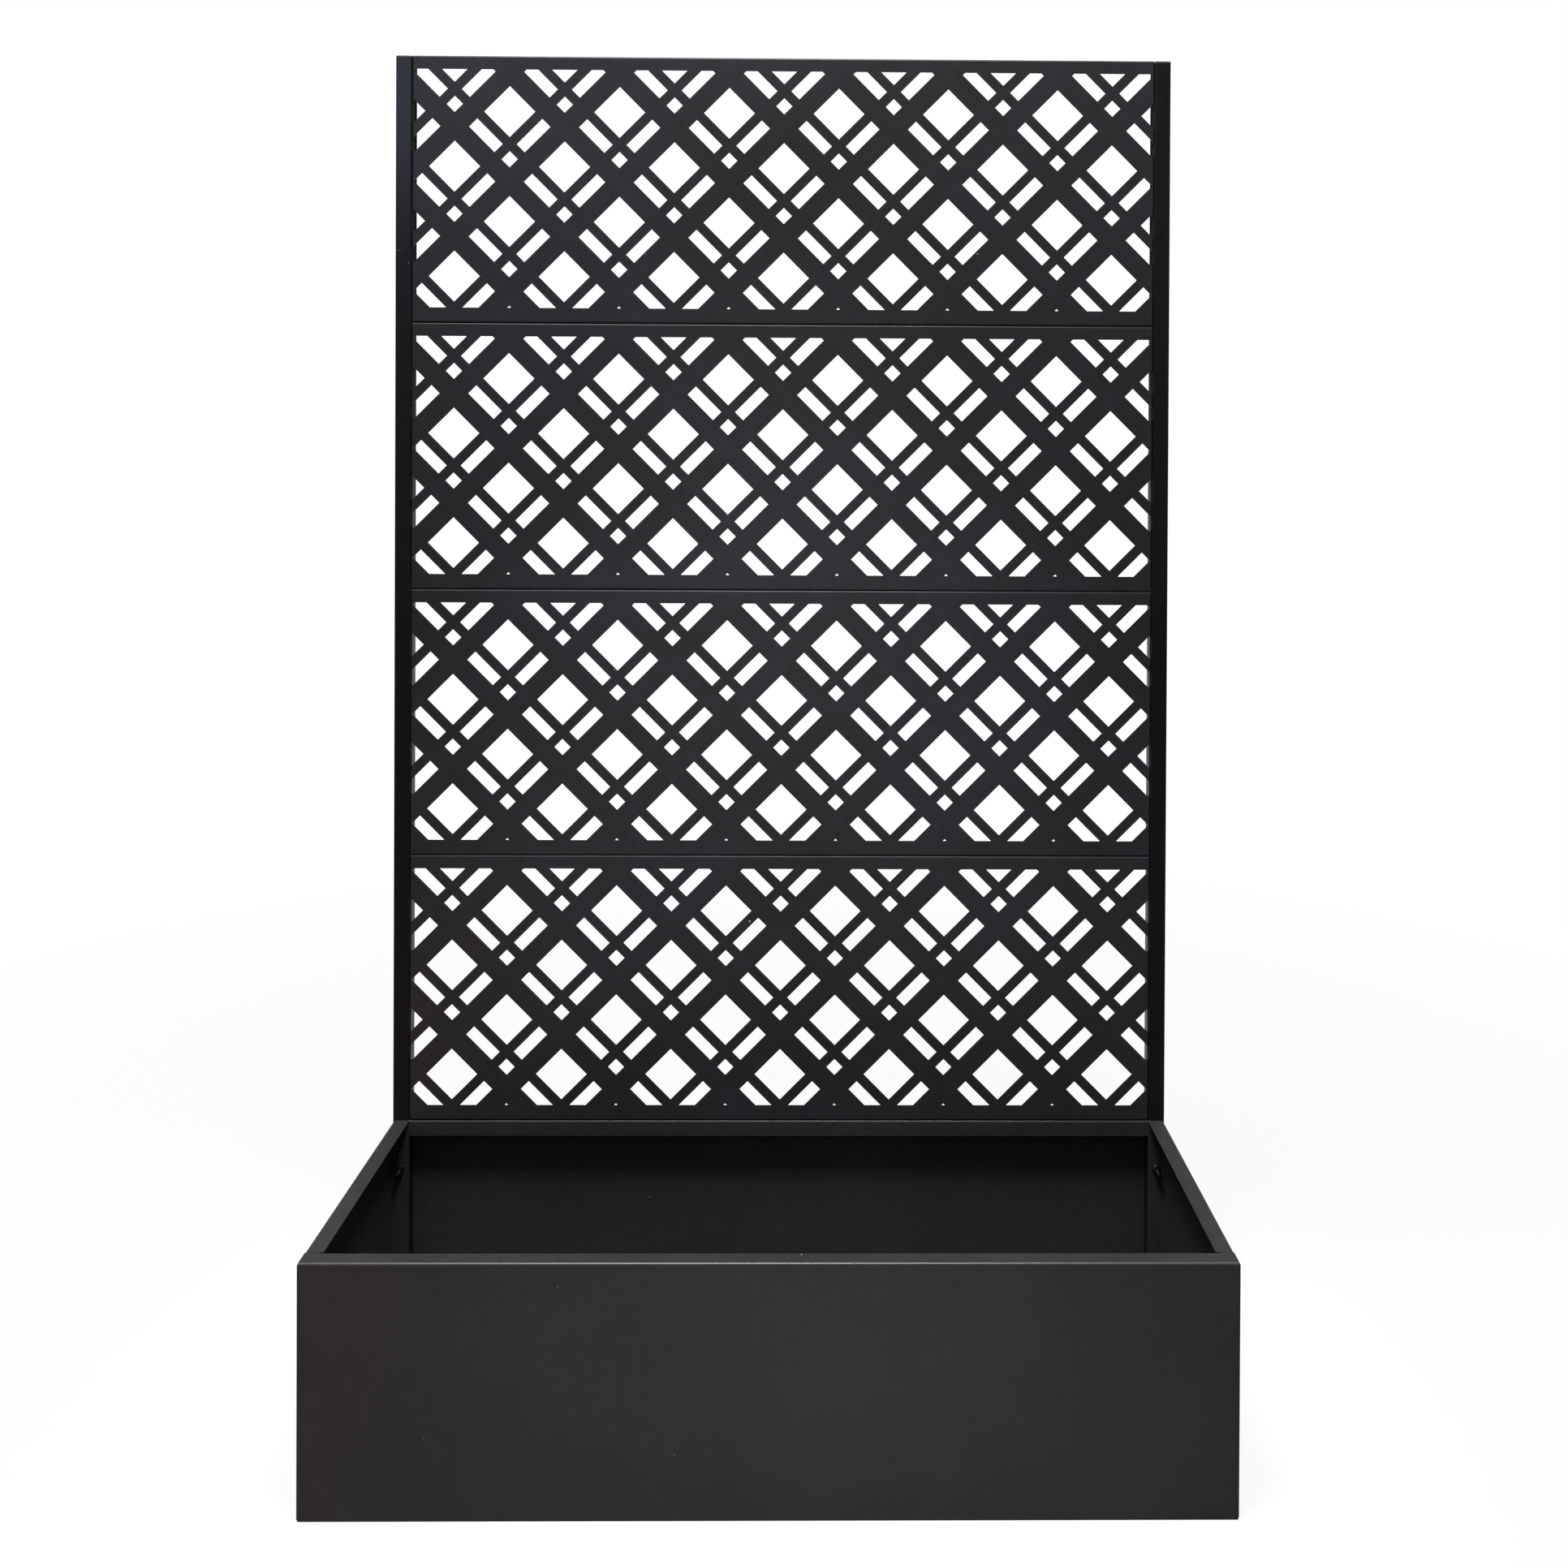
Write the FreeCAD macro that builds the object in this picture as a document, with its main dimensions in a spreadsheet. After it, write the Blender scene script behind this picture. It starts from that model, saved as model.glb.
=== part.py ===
import FreeCAD, Part
import math
import os
import Sketcher

# Planter with trellis: a folded sheet-steel trough with two square posts at its rear corners
# and four perforated panels stacked between them.
# +X is the width seen from the front, +Y goes from the front to the back, +Z is up.
# The origin is on the ground at the middle of the outline. Lengths are in millimetres.

SIZES = (
    ("box_width", 1200, "trough, left to right"),
    ("box_depth", 400, "trough, front to back"),
    ("wall_height", 330, "trough walls"),
    ("sheet", 1.5, "thickness of every folded sheet"),
    ("bend_outer", 3, "outside radius of every fold"),
    ("rim_width", 24, "flange at the top and the bottom of the walls"),
    ("lip_height", 24, "lip that hangs from the front and back rims"),
    ("relief", 3.5, "cut away where two folds meet or an opening crosses one"),
    ("slit", 1, "width of a relief slit beside a fold"),
    ("overcut", 1, "how far a cut is drawn past the sheet it cuts"),
    ("lip_overrun", 5, "front lip's fold past the mouth's corner, at each end"),
    ("seam_gap", 0.3, "gap between two sheets that only lie beside each other"),
    ("tuck_gap", 0.5, "side wall's front edge to the front wall's folds"),
    ("post_width", 25, "square post tube"),
    ("post_wall", 1.2, "wall of the post tube and its spigot"),
    ("post_corner", 2, "outside corner radius of the post tube"),
    ("post_length", 990, "one half of a post"),
    ("slide_gap", 0.3, "clearance of what slides into a post, each side"),
    ("spigot_length", 150, "inner tube that joins two post halves"),
    ("cap_head", 3, "visible height of a post cap"),
    ("cap_round", 2, "rounding of a post cap"),
    ("cap_plug", 14, "part of a cap inside the post"),
    ("cap_wall", 1.6, "wall of the cap's hollow plug"),
    ("panel_count", 4, "trellis panels between rim and post top"),
    ("panel_flange", 20, "returns around a trellis panel"),
    ("panel_gap", 0.3, "trellis panel to post, each side"),
    ("big_opening", 56, "side of a large square opening"),
    ("small_opening", 18, "side of a small square opening and width of a bar opening"),
    ("thin_strap", 15, "lattice bar below a large opening"),
    ("thick_strap", 31, "lattice bar above a large opening"),
    ("window_top", 20.5, "plain border above the lattice"),
    ("window_low", 23.5, "plain border below the lattice"),
    ("lattice_drop", 1, "lattice centre line below a panel's top edge"),
    ("opening_round", 0.5, "corner radius of an opening"),
    ("smallest_opening", 4, "area under which a clipped opening is left closed"),
    ("bolt_radius", 3, "shank of every bolt"),
    ("hole_radius", 3.3, "clearance hole for a bolt"),
    ("head_radius", 6, "low round bolt head"),
    ("head_height", 1.5, "bolt head, which stands proud of the sheet"),
    ("head_round", 0.9, "rounding of the head's rim"),
    ("key_flats", 4, "hexagon key socket, across flats"),
    ("key_depth", 2.2, "depth of the key socket"),
    ("bolt_tip", 0.8, "chamfer at a bolt's end"),
    ("nut_flats", 10, "flange nut, across flats"),
    ("nut_height", 6, "flange nut, with its flange"),
    ("nut_skirt_radius", 7, "flange of a nut"),
    ("nut_skirt", 1.2, "thickness of a nut's flange"),
    ("thread_gap", 0.1, "nut bore to bolt shank"),
    ("corner_bolt", 50, "bolt through back wall, post and side wall"),
    ("short_bolt", 16, "bolt through two sheets"),
    ("weld_stud", 10, "stud welded inside a return of the front wall"),
    ("bolt_first", 54, "top trellis bolt below a panel's top edge"),
    ("bolt_pitch", 168, "trellis bolt to the next one"),
    ("bolts_per_panel", 3, "trellis bolts at each side of a panel"),
    ("bolt_margin", 75, "wall bolts from the wall's top and bottom"),
    ("floor_skirt", 20, "floor sheet above the bottom flanges"),
    ("floor_gap", 2, "floor to the front and back walls"),
    ("floor_clear", 2, "floor to the posts' side flanges"),
    ("floor_bolt_pitch", 220, "the two floor bolts at each end"),
    ("drain_radius", 6, "drain hole"),
    ("drain_columns", 5, "drain holes in a row"),
    ("drain_rows", 2, "rows of drain holes"),
    ("drain_pitch_x", 240, "drain hole to the next in a row"),
    ("drain_pitch_y", 180, "row of drain holes to the next"),
)

doc = FreeCAD.newDocument("PlanterWithTrellis")
sheet_of_sizes = doc.addObject("Spreadsheet::Sheet", "Sizes")
for row, (alias, value, meaning) in enumerate(SIZES, start=1):
    sheet_of_sizes.set(f"A{row}", meaning)
    sheet_of_sizes.set(f"B{row}", str(value))
    sheet_of_sizes.setAlias(f"B{row}", alias)
doc.recompute()


class Size:
    """A length with its formula on the sheet and the value that the formula has now."""

    def __init__(self, formula, value):
        self.formula = formula
        self.value = value

    def joined(self, sign, other, value):
        return Size(f"({self.formula} {sign} {other.formula})", value)

    def __add__(self, other):
        other = as_size(other)
        return self.joined("+", other, self.value + other.value)

    def __sub__(self, other):
        other = as_size(other)
        return self.joined("-", other, self.value - other.value)

    def __mul__(self, other):
        other = as_size(other)
        return self.joined("*", other, self.value * other.value)

    def __truediv__(self, other):
        other = as_size(other)
        return self.joined("/", other, self.value / other.value)

    def __neg__(self):
        return self * -1


def as_size(number):
    """The number as a Size, if it isn't one already."""
    if isinstance(number, Size):
        return number
    return Size(f"({number})", number)


class Named:
    """The driving sizes by name."""


s = Named()
for alias, value, meaning in SIZES:
    setattr(s, alias, Size(f"Sizes.{alias}", float(sheet_of_sizes.get(alias))))

# Places that several pieces share.
front_y = -(s.box_depth + s.head_height) / 2
back_y = (s.box_depth - s.head_height) / 2
trellis_y = back_y - s.sheet - s.post_width
post_y = back_y - s.sheet - s.post_width / 2
post_x = (s.box_width - s.post_width) / 2
mouth_half = s.box_width / 2 - s.sheet - s.rim_width
panel_width = s.box_width - s.post_width * 2 - s.panel_gap * 2
panel_height = (s.post_length * 2 - s.wall_height) / s.panel_count
bend_inner = s.bend_outer - s.sheet
upper_bolt_z = s.wall_height - s.bolt_margin
floor_bolt_z = s.sheet + s.floor_skirt / 2
LEFT, RIGHT = -1, 1
SIDE_NAMES = {LEFT: "left", RIGHT: "right"}

pieces = []


# ---------------------------------------------------------------- bodies, sketches, features


def new_body(name, x=0, y=0, z=0, turn=0):
    """A body for one piece, placed at x, y, z and turned about the vertical by turn degrees."""
    body = doc.addObject("PartDesign::Body", name)
    body.Label = name
    place(body, x, y, z, turn)
    return body


def place(piece, x, y, z, turn=0):
    """Binds the placement of a piece to the sheet."""
    upright = FreeCAD.Rotation(FreeCAD.Vector(0, 0, 1), turn)
    piece.Placement = FreeCAD.Placement(FreeCAD.Vector(0, 0, 0), upright)
    for axis, distance in (("x", x), ("y", y), ("z", z)):
        piece.setExpression(f".Placement.Base.{axis}", as_size(distance).formula)


def origin_feature(body, role):
    """An origin plane or axis of the body."""
    return next(item for item in body.Origin.OriginFeatures if item.Role == role)


def new_sketch(body, name, plane, lift=0):
    """A sketch on an origin plane of its own body, lifted along the plane's normal."""
    sketch = body.newObject("Sketcher::SketchObject", name)
    sketch.AttachmentSupport = (origin_feature(body, plane), [""])
    sketch.MapMode = "FlatFace"
    sketch.setExpression(".AttachmentOffset.Base.z", as_size(lift).formula)
    return sketch


def hold(sketch, kind, edge, point, distance):
    """Holds a point of the sketch at a distance from the sketch's origin."""
    distance = as_size(distance)
    rule = Sketcher.Constraint(kind, -1, 1, edge, point, distance.value)
    sketch.setExpression(f"Constraints[{sketch.addConstraint(rule)}]", distance.formula)


def outline(sketch, corners):
    """A closed outline of straight edges, each corner held by its two distances."""
    points = [FreeCAD.Vector(as_size(a).value, as_size(b).value, 0) for a, b in corners]
    first = sketch.GeometryCount
    for start, end in zip(points, points[1:] + points[:1]):
        sketch.addGeometry(Part.LineSegment(start, end), False)
    for number, (a, b) in enumerate(corners):
        before = first + (number - 1) % len(corners)
        sketch.addConstraint(Sketcher.Constraint("Coincident", before, 2, first + number, 1))
        hold(sketch, "DistanceX", first + number, 1, a)
        hold(sketch, "DistanceY", first + number, 1, b)


def rectangle(sketch, left, low, right, high):
    """A rectangle between two opposite corners."""
    outline(sketch, ((left, low), (right, low), (right, high), (left, high)))


def circle(sketch, a, b, radius):
    """A circle whose centre and radius are held."""
    centre = FreeCAD.Vector(as_size(a).value, as_size(b).value, 0)
    round_edge = Part.Circle(centre, FreeCAD.Vector(0, 0, 1), radius.value)
    number = sketch.addGeometry(round_edge, False)
    hold(sketch, "DistanceX", number, 3, a)
    hold(sketch, "DistanceY", number, 3, b)
    rule = Sketcher.Constraint("Radius", number, radius.value)
    sketch.setExpression(f"Constraints[{sketch.addConstraint(rule)}]", radius.formula)


def hexagon(sketch, across_flats):
    """A regular hexagon about the sketch's origin, with two flats level."""
    reach = across_flats / math.sqrt(3)
    half = across_flats / 2
    corners = ((reach, 0), (reach / 2, half), (-reach / 2, half))
    corners += ((-reach, 0), (-reach / 2, -half), (reach / 2, -half))
    outline(sketch, corners)


def pad(body, sketch, length, both_ways=False, backwards=False):
    """Adds the sketch's area, drawn out along its normal."""
    feature = body.newObject("PartDesign::Pad", sketch.Name + "_pad")
    feature.Profile = sketch
    feature.SideType = "Symmetric" if both_ways else "One side"
    feature.Reversed = backwards
    feature.setExpression("Length", length.formula)
    doc.recompute()
    return feature


def pocket(body, sketch, length=None, backwards=False):
    """Cuts the sketch's area out, right through both ways if no length is given."""
    before = body.Shape.Volume
    feature = body.newObject("PartDesign::Pocket", sketch.Name + "_pocket")
    feature.Profile = sketch
    feature.Reversed = backwards
    if length is None:
        feature.SideType = "Symmetric"
        feature.Type = "ThroughAll"
    else:
        feature.setExpression("Length", length.formula)
    doc.recompute()
    if not feature.Shape.Volume < before:
        raise ValueError(f"{feature.Name} cuts nothing")
    return feature


def edges_at(feature, x=None, y=None, z=None):
    """Names and lengths of the edges that lie wholly at the given coordinates."""
    wanted = [(0, x), (1, y), (2, z)]
    wanted = [(axis, as_size(at).value) for axis, at in wanted if at is not None]
    found = []
    for number, edge in enumerate(feature.Shape.Edges, start=1):
        ends = [vertex.Point for vertex in edge.Vertexes] + [edge.CenterOfMass]
        if all(abs(end[axis] - at) < 1e-4 for end in ends for axis, at in wanted):
            found.append((edge.Length, f"Edge{number}"))
    return sorted(found)


def faces_at(feature, **wanted):
    """Names of the flat faces that lie at one coordinate."""
    (axis_name, at), = wanted.items()
    axis = "xyz".index(axis_name)
    found = []
    for number, face in enumerate(feature.Shape.Faces, start=1):
        flat = abs(abs(face.normalAt(0, 0)[axis]) - 1) < 1e-6
        if flat and abs(face.CenterOfMass[axis] - as_size(at).value) < 1e-4:
            found.append(f"Face{number}")
    return found


def round_edges(body, base, names, radius, name):
    """Rounds the named edges of the last feature."""
    feature = body.newObject("PartDesign::Fillet", name)
    feature.Base = (base, names)
    feature.setExpression("Radius", radius.formula)
    doc.recompute()
    return feature


def hollow(body, base, open_faces, wall, name):
    """Leaves a sheet of even thickness, open at the given faces."""
    feature = body.newObject("PartDesign::Thickness", name)
    feature.Base = (base, open_faces)
    feature.Reversed = True
    feature.setExpression("Value", wall.formula)
    doc.recompute()
    return feature


def repeat(body, base, axis, count, pitch, backwards=False, name="row"):
    """Repeats the whole piece in a row of separate solids."""
    feature = body.newObject("PartDesign::LinearPattern", name)
    feature.TransformMode = "Whole shape"
    feature.Direction = (origin_feature(body, axis), [""])
    feature.Mode = "Spacing"
    feature.Reversed = backwards
    feature.setExpression("Occurrences", count.formula)
    feature.setExpression("Offset", pitch.formula)
    body.Tip = feature
    doc.recompute()
    return feature


# ---------------------------------------------------------------- the trough's folded walls


def long_fold(body, base, y, z, radius, name):
    """Rounds the longest edge that runs left to right at y and z."""
    return round_edges(body, base, [edges_at(base, y=y, z=z)[-1][1]], radius, name)


def front_panel():
    """The front wall: returns at both sides, a flange below, a flange and a hanging lip above."""
    body = new_body("front_panel", y=front_y)
    half = s.box_width / 2
    top = s.wall_height
    block = new_sketch(body, "front_block", "XY_Plane")
    rectangle(block, -half, 0, half, s.rim_width)
    solid = pad(body, block, top)
    face_edges = [name for length, name in edges_at(solid, y=0)]
    solid = round_edges(body, solid, face_edges, s.bend_outer, "front_folds")
    hollow(body, solid, faces_at(solid, y=s.rim_width), s.sheet, "front_sheet")

    lip_half = mouth_half + s.lip_overrun
    notch = new_sketch(body, "front_lip_notch", "XY_Plane", top)
    over = s.rim_width + s.overcut
    rectangle(notch, -lip_half, s.rim_width - s.bend_outer, lip_half, over)
    pocket(body, notch, s.sheet * 2)
    lip = new_sketch(body, "front_lip", "YZ_Plane")
    outline(
        lip,
        (
            (s.rim_width - s.bend_outer, top - s.sheet),
            (s.rim_width - s.sheet, top - s.sheet),
            (s.rim_width - s.sheet, top - s.lip_height),
            (s.rim_width, top - s.lip_height),
            (s.rim_width, top),
            (s.rim_width - s.bend_outer, top),
        ),
    )
    solid = pad(body, lip, (lip_half - s.slit) * 2, both_ways=True)
    solid = long_fold(body, solid, s.rim_width, top, s.bend_outer, "front_lip_fold")
    long_fold(
        body, solid, s.rim_width - s.sheet, top - s.sheet, bend_inner, "front_lip_inside"
    )

    corners = new_sketch(body, "front_corner_reliefs", "XZ_Plane")
    inner = half - s.sheet - s.seam_gap
    for side in (LEFT, RIGHT):
        outer = (half + s.overcut) * side
        rectangle(corners, inner * side, top - s.relief, outer, top + s.overcut)
        rectangle(corners, inner * side, -s.overcut, outer, s.relief)
    pocket(body, corners)
    pieces.append(body)


def back_panel():
    """The back wall behind the posts. Between the posts it has a rim with a hanging lip,
    level with the trellis face, and a bottom flange."""
    body = new_body("back_panel", y=back_y)
    half = s.box_width / 2
    top = s.wall_height
    fold_half = panel_width / 2
    lip_front = -(s.sheet + s.post_width)
    wall = new_sketch(body, "back_wall", "XZ_Plane")
    rectangle(wall, -half, 0, half, top)
    pad(body, wall, s.sheet)
    section = new_sketch(body, "back_folds", "YZ_Plane")
    outline(
        section,
        (
            (0, 0),
            (0, top),
            (lip_front, top),
            (lip_front, top - s.lip_height),
            (lip_front + s.sheet, top - s.lip_height),
            (lip_front + s.sheet, top - s.sheet),
            (-s.sheet, top - s.sheet),
            (-s.sheet, s.sheet),
            (-s.rim_width, s.sheet),
            (-s.rim_width, 0),
        ),
    )
    pad(body, section, panel_width, both_ways=True)
    slits = new_sketch(body, "back_corner_slits", "XZ_Plane")
    for side in (LEFT, RIGHT):
        near, far = fold_half * side, (fold_half + s.slit) * side
        rectangle(slits, near, top - s.relief, far, top + s.overcut)
        rectangle(slits, near, -s.overcut, far, s.relief)
    solid = pocket(body, slits)
    solid = long_fold(body, solid, 0, top, s.bend_outer, "back_top_fold")
    solid = long_fold(body, solid, 0, 0, s.bend_outer, "back_low_fold")
    solid = long_fold(body, solid, lip_front, top, s.bend_outer, "back_lip_fold")
    solid = long_fold(body, solid, -s.sheet, top - s.sheet, bend_inner, "back_top_inside")
    solid = long_fold(body, solid, -s.sheet, s.sheet, bend_inner, "back_low_inside")
    solid = long_fold(
        body, solid, lip_front + s.sheet, top - s.sheet, bend_inner, "back_lip_inside"
    )
    holes = new_sketch(body, "back_holes", "XZ_Plane")
    for side in (LEFT, RIGHT):
        for height in (s.bolt_margin, upper_bolt_z):
            circle(holes, post_x * side, height, s.hole_radius)
    pocket(body, holes)
    pieces.append(body)


def side_panel(side):
    """A side wall: its front edge is tucked inside the front wall's return, its top flange
    butts against the front rim, and its rear flange is bolted to the post."""
    name = SIDE_NAMES[side]
    body = new_body(f"{name}_side_panel", x=(s.box_width / 2 - s.sheet) * side, y=front_y)
    top = s.wall_height
    inwards = -side
    front = s.bend_outer + s.tuck_gap
    rear = s.box_depth - s.sheet - s.post_width
    block = new_sketch(body, f"{name}_block", "XY_Plane")
    rectangle(block, 0, front, s.rim_width * inwards, rear)
    solid = pad(body, block, top)
    folds = [edges_at(solid, x=0, z=top)[-1][1], edges_at(solid, x=0, y=rear)[-1][1]]
    solid = round_edges(body, solid, folds, s.bend_outer, f"{name}_folds")
    open_faces = faces_at(solid, x=s.rim_width * inwards)
    open_faces += faces_at(solid, y=front) + faces_at(solid, z=0)
    hollow(body, solid, open_faces, s.sheet, f"{name}_sheet")

    tuck_end = s.rim_width + s.seam_gap
    tuck = new_sketch(body, f"{name}_tuck", "YZ_Plane")
    rectangle(tuck, 0, top - s.relief, tuck_end, top + s.overcut)
    rectangle(tuck, 0, -s.overcut, tuck_end, s.relief)
    pocket(body, tuck)
    slit = new_sketch(body, f"{name}_rear_slit", "XZ_Plane")
    over = (s.rim_width + s.overcut) * inwards
    rectangle(slit, s.bend_outer * inwards, top - s.relief, over, top - s.sheet)
    pocket(body, slit)
    rear_holes = new_sketch(body, f"{name}_rear_holes", "XZ_Plane")
    side_holes = new_sketch(body, f"{name}_side_holes", "YZ_Plane")
    for height in (s.bolt_margin, upper_bolt_z):
        circle(rear_holes, (s.post_width / 2 - s.sheet) * inwards, height, s.hole_radius)
        circle(side_holes, s.rim_width / 2, height, s.hole_radius)
    for way in (-1, 1):
        along = s.box_depth / 2 + s.floor_bolt_pitch / 2 * way
        circle(side_holes, along, floor_bolt_z, s.hole_radius)
    pocket(body, rear_holes)
    pocket(body, side_holes)
    pieces.append(body)


def floor_panel():
    """The trough's floor: a shallow tray, folded down all round, that stands on the bottom
    flanges of the front and back walls and is notched at the posts."""
    body = new_body("floor_panel", y=front_y, z=s.sheet)
    height = s.floor_skirt
    half = s.box_width / 2 - s.sheet * 2
    front = s.sheet + s.floor_gap
    shoulder = s.box_depth - s.post_width - s.sheet * 2 - s.floor_clear
    rear = s.box_depth - s.sheet - s.floor_gap
    rear_half = mouth_half - s.floor_clear
    plan = new_sketch(body, "floor_plan", "XY_Plane")
    outline(
        plan,
        (
            (-half, front),
            (half, front),
            (half, shoulder),
            (rear_half, shoulder),
            (rear_half, rear),
            (-rear_half, rear),
            (-rear_half, shoulder),
            (-half, shoulder),
        ),
    )
    solid = pad(body, plan, height)
    folds = [edges_at(solid, y=at, z=height)[-1][1] for at in (front, rear)]
    folds += [edges_at(solid, x=half * side, z=height)[-1][1] for side in (LEFT, RIGHT)]
    solid = round_edges(body, solid, folds, s.bend_outer, "floor_folds")
    hollow(body, solid, faces_at(solid, z=0), s.sheet, "floor_sheet")
    bolt_holes = new_sketch(body, "floor_bolt_holes", "YZ_Plane")
    for way in (-1, 1):
        along = s.box_depth / 2 + s.floor_bolt_pitch / 2 * way
        circle(bolt_holes, along, floor_bolt_z - s.sheet, s.hole_radius)
    pocket(body, bolt_holes)
    drains = new_sketch(body, "drain_holes", "XY_Plane")
    columns, rows = int(s.drain_columns.value), int(s.drain_rows.value)
    for column in range(columns):
        for row in range(rows):
            across = s.drain_pitch_x * (column - (columns - 1) / 2)
            along = s.box_depth / 2 + s.drain_pitch_y * (row - (rows - 1) / 2)
            circle(drains, across, along, s.drain_radius)
    pocket(body, drains)
    pieces.append(body)


# ---------------------------------------------------------------- the posts


def trellis_bolt_heights():
    """The heights of the bolts that hold the trellis panels, from the lowest up."""
    heights = []
    for panel in range(int(s.panel_count.value)):
        top = s.wall_height + panel_height * (panel + 1)
        for number in reversed(range(int(s.bolts_per_panel.value))):
            heights.append(top - s.bolt_first - s.bolt_pitch * number)
    return heights


def tube(body, name, width, wall, length, corner):
    """A square tube about the body's vertical axis, with rounded corners."""
    half = width / 2
    inner = half - wall
    section = new_sketch(body, f"{name}_section", "XY_Plane")
    rectangle(section, -half, -half, half, half)
    rectangle(section, -inner, -inner, inner, inner)
    solid = pad(body, section, length)
    for reach, radius, word in ((half, corner, "outer"), (inner, corner - wall, "inner")):
        if radius.value > 0:
            upright = [
                edges_at(solid, x=reach * a, y=reach * b)[-1][1]
                for a in (-1, 1)
                for b in (-1, 1)
            ]
            solid = round_edges(body, solid, upright, radius, f"{name}_{word}_corners")


def inner_holes(body, name, side, low, length, radius):
    """Holes for the trellis bolts, or their nuts, in the inner wall of a tube that stands from
    low to low + length."""
    reach = radius.value
    inside = [
        height
        for height in trellis_bolt_heights()
        if low.value - reach < height.value < (low + length).value + reach
    ]
    if inside:
        holes = new_sketch(body, f"{name}_trellis_holes", "YZ_Plane")
        for height in inside:
            circle(holes, 0, height - low, radius)
        pocket(body, holes, s.post_width, backwards=side == LEFT)


def post_half(side, word):
    """One half of a post. The lower one stands on the ground behind the side wall's flange."""
    name = f"{SIDE_NAMES[side]}_post_{word}"
    low = s.post_length if word == "upper" else as_size(0)
    length = s.post_length - s.cap_head if word == "upper" else s.post_length
    body = new_body(name, x=post_x * side, y=post_y, z=low)
    tube(body, name, s.post_width, s.post_wall, length, s.post_corner)
    inner_holes(body, name, side, low, length, s.hole_radius)
    if word == "lower":
        holes = new_sketch(body, f"{name}_wall_holes", "XZ_Plane")
        for height in (s.bolt_margin, upper_bolt_z):
            circle(holes, 0, height, s.hole_radius)
        pocket(body, holes)
    pieces.append(body)


def post_spigot(side):
    """The inner tube that joins the two halves of a post. A nut welded inside the post stands
    in its wall and keeps it at its height."""
    name = f"{SIDE_NAMES[side]}_post_spigot"
    low = s.post_length - s.spigot_length / 2
    body = new_body(name, x=post_x * side, y=post_y, z=low)
    width = s.post_width - s.post_wall * 2 - s.slide_gap * 2
    tube(body, name, width, s.post_wall, s.spigot_length, s.post_corner - s.post_wall / 2)
    inner_holes(body, name, side, low, s.spigot_length, s.nut_skirt_radius + s.slide_gap)
    pieces.append(body)


def post_cap(side):
    """The moulded cap that closes a post, with a hollow plug that is pushed into the tube."""
    name = f"{SIDE_NAMES[side]}_post_cap"
    body = new_body(name, x=post_x * side, y=post_y, z=s.post_length * 2 - s.cap_head)
    half = s.post_width / 2
    head = new_sketch(body, f"{name}_head", "XY_Plane")
    rectangle(head, -half, -half, half, half)
    solid = pad(body, head, s.cap_head)
    upright = [name_of for length, name_of in edges_at(solid, z=s.cap_head)]
    for a in (-half, half):
        for b in (-half, half):
            upright.append(edges_at(solid, x=a, y=b)[-1][1])
    round_edges(body, solid, upright, s.cap_round, f"{name}_rounding")
    outer = half - s.post_wall - s.slide_gap
    inner = outer - s.cap_wall
    plug = new_sketch(body, f"{name}_plug", "XY_Plane")
    rectangle(plug, -outer, -outer, outer, outer)
    rectangle(plug, -inner, -inner, inner, inner)
    solid = pad(body, plug, s.cap_plug, backwards=True)
    upright = [
        edges_at(solid, x=outer * a, y=outer * b)[-1][1] for a in (-1, 1) for b in (-1, 1)
    ]
    round_edges(body, solid, upright, s.post_corner / 2, f"{name}_plug_corners")
    pieces.append(body)


# ---------------------------------------------------------------- the trellis panels


def trellis_tray():
    """A plain panel with four returns, before the lattice is cut. Its front face is at y = 0."""
    body = new_body("trellis_tray")
    half = panel_width / 2
    block = new_sketch(body, "tray_block", "XY_Plane")
    rectangle(block, -half, 0, half, s.panel_flange)
    solid = pad(body, block, panel_height)
    face_edges = [name for length, name in edges_at(solid, y=0)]
    solid = round_edges(body, solid, face_edges, s.bend_outer, "tray_folds")
    hollow(body, solid, faces_at(solid, y=s.panel_flange), s.sheet, "tray_sheet")
    slits = new_sketch(body, "tray_corner_slits", "YZ_Plane")
    over = s.panel_flange + s.overcut
    rectangle(slits, s.bend_outer, panel_height - s.relief, over, panel_height - s.sheet)
    rectangle(slits, s.bend_outer, s.sheet, over, s.relief)
    pocket(body, slits)
    holes = new_sketch(body, "tray_bolt_holes", "YZ_Plane")
    for number in range(int(s.bolts_per_panel.value)):
        height = panel_height - s.bolt_first - s.bolt_pitch * number
        circle(holes, s.post_width / 2, height, s.hole_radius)
    pocket(body, holes)
    return body


def open_bands(reach):
    """The open stretches along one diagonal of the lattice: large, small, large, small..."""
    big, small = s.big_opening.value, s.small_opening.value
    period = big + s.thin_strap.value + small + s.thick_strap.value
    count = math.ceil(reach / period)
    for number in range(-count, count + 1):
        middle = number * period
        yield middle - big / 2, middle + big / 2
        small_start = middle + big / 2 + s.thin_strap.value
        yield small_start, small_start + small


def clipped(corners, axis, limit, keep_above):
    """The part of a convex outline on one side of a level or upright line."""
    kept = []
    sign = 1 if keep_above else -1
    for start, end in zip(corners, corners[1:] + corners[:1]):
        start_in = sign * (start[axis] - limit) >= 0
        if start_in:
            kept.append(start)
        if start_in != (sign * (end[axis] - limit) >= 0):
            share = (limit - start[axis]) / (end[axis] - start[axis])
            crossing = [a + share * (b - a) for a, b in zip(start, end)]
            kept.append(tuple(crossing))
    return kept


def without_short_edges(corners, shortest):
    """The outline without the corners that lie closer than shortest to the one before."""
    return [
        corner
        for before, corner in zip(corners[-1:] + corners[:-1], corners)
        if math.dist(before, corner) > shortest
    ]


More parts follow.
